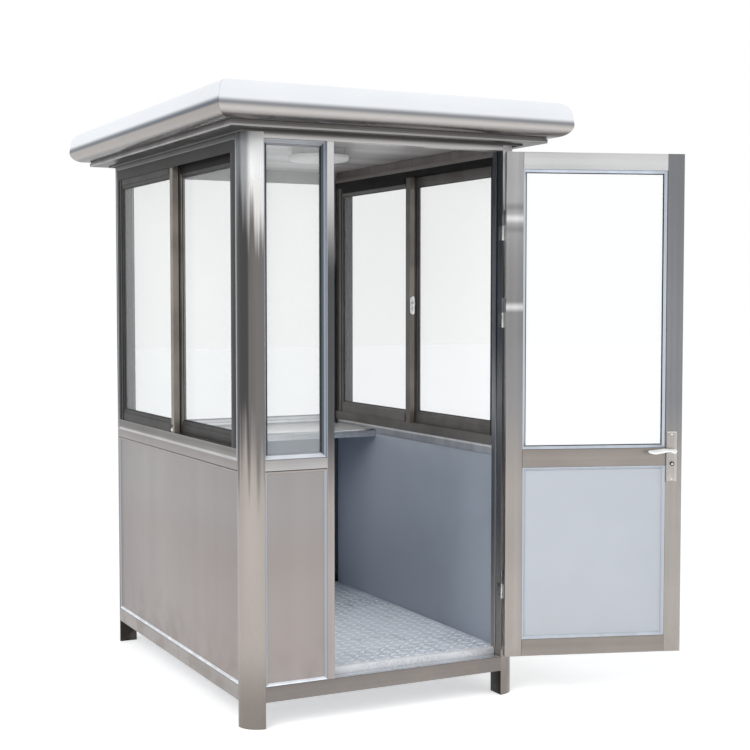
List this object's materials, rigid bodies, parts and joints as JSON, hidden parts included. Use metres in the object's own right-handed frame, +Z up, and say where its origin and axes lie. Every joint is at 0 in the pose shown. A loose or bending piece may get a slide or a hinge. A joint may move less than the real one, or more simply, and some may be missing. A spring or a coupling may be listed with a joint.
{
  "type": "security guard booth",
  "caption": "Steel guard booth on short legs with rounded corner posts, sliding side windows, a glazed front bay, a hinged glazed door with lever handle and an overhanging bullnose roof.",
  "frame": {"origin": "centre of the front left post's foot, at ground level", "axes": "+Z up; +X across the booth, to the right of someone outside facing the door; the front wall with the door faces -Y"},
  "size_m": [1.9736, 2.1693, 2.41],
  "materials": {
    "brushed_steel": "brushed stainless, satin, hairline grain",
    "wall_panel": "satin sheet, pale slate grey inside",
    "polished_bead": "bright folded bead",
    "aluminium_tread": "raised-bar tread plate, worn and dusty",
    "desk_laminate": "pale laminate with a metal edge",
    "bronze_aluminium": "dark bronze anodised, satin",
    "clear_glass": "clear float glass, light dust",
    "lock_chrome": "polished",
    "ceiling_board": "satin light grey sheet",
    "light_cover": "white diffuser",
    "roof_sheet": "flat roof sheet, weathered"
  },
  "bodies": {
    "booth": {"base_rails": "brushed_steel", "ceiling_light": "light_cover", "ceiling_panel": "ceiling_board", "cornice": "brushed_steel", "desk": "desk_laminate", "door_mullion": "brushed_steel", "floor_deck": "aluminium_tread", "front_bay_glass": "clear_glass", "front_bay_glazing_beads": "polished_bead", "front_bay_panel": "wall_panel", "front_eave": "brushed_steel", "left_eave": "brushed_steel", "left_wall_panel": "wall_panel", "left_window_frame": "bronze_aluminium", "left_window_glass": "clear_glass", "left_window_inner_sash": "bronze_aluminium", "left_window_latch": "lock_chrome", "left_window_outer_sash": "bronze_aluminium", "mid_rails": "brushed_steel", "panel_beads": "polished_bead", "post_front_left": "brushed_steel", "post_front_right": "brushed_steel", "post_hinge_leaves": "brushed_steel", "post_rear_left": "brushed_steel", "post_rear_right": "brushed_steel", "rear_eave": "brushed_steel", "rear_glass": "clear_glass", "rear_glazing_beads": "polished_bead", "rear_wall_panel": "wall_panel", "right_eave": "brushed_steel", "right_wall_panel": "wall_panel", "right_window_frame": "bronze_aluminium", "right_window_glass": "clear_glass", "right_window_inner_sash": "bronze_aluminium", "right_window_latch": "lock_chrome", "right_window_outer_sash": "bronze_aluminium", "roof_deck": "roof_sheet", "top_rails": "brushed_steel"},
    "door": {"door_frame": "brushed_steel", "door_glass": "clear_glass", "door_panel": "wall_panel", "door_beads": "polished_bead", "door_hinge_leaves": "brushed_steel", "lock_plates": "lock_chrome"},
    "handle": {"lever_handle": "lock_chrome"}
  },
  "joints": [
    {"name": "door_hinge", "type": "hinge", "parent": "booth", "child": "door", "pos_m": [1.07145, -0.05505, 1.192], "axis": [0, 0, 1], "range_deg": [-161, 14]},
    {"name": "lever_turn", "type": "hinge", "parent": "door", "child": "handle", "pos_m": [1.72122, -0.30733, 1.005], "axis": [-0.3256, -0.9455, 0], "range_deg": [0, 45], "stiffness_Nm_per_rad": 1, "springref_deg": -20.05}
  ]
}
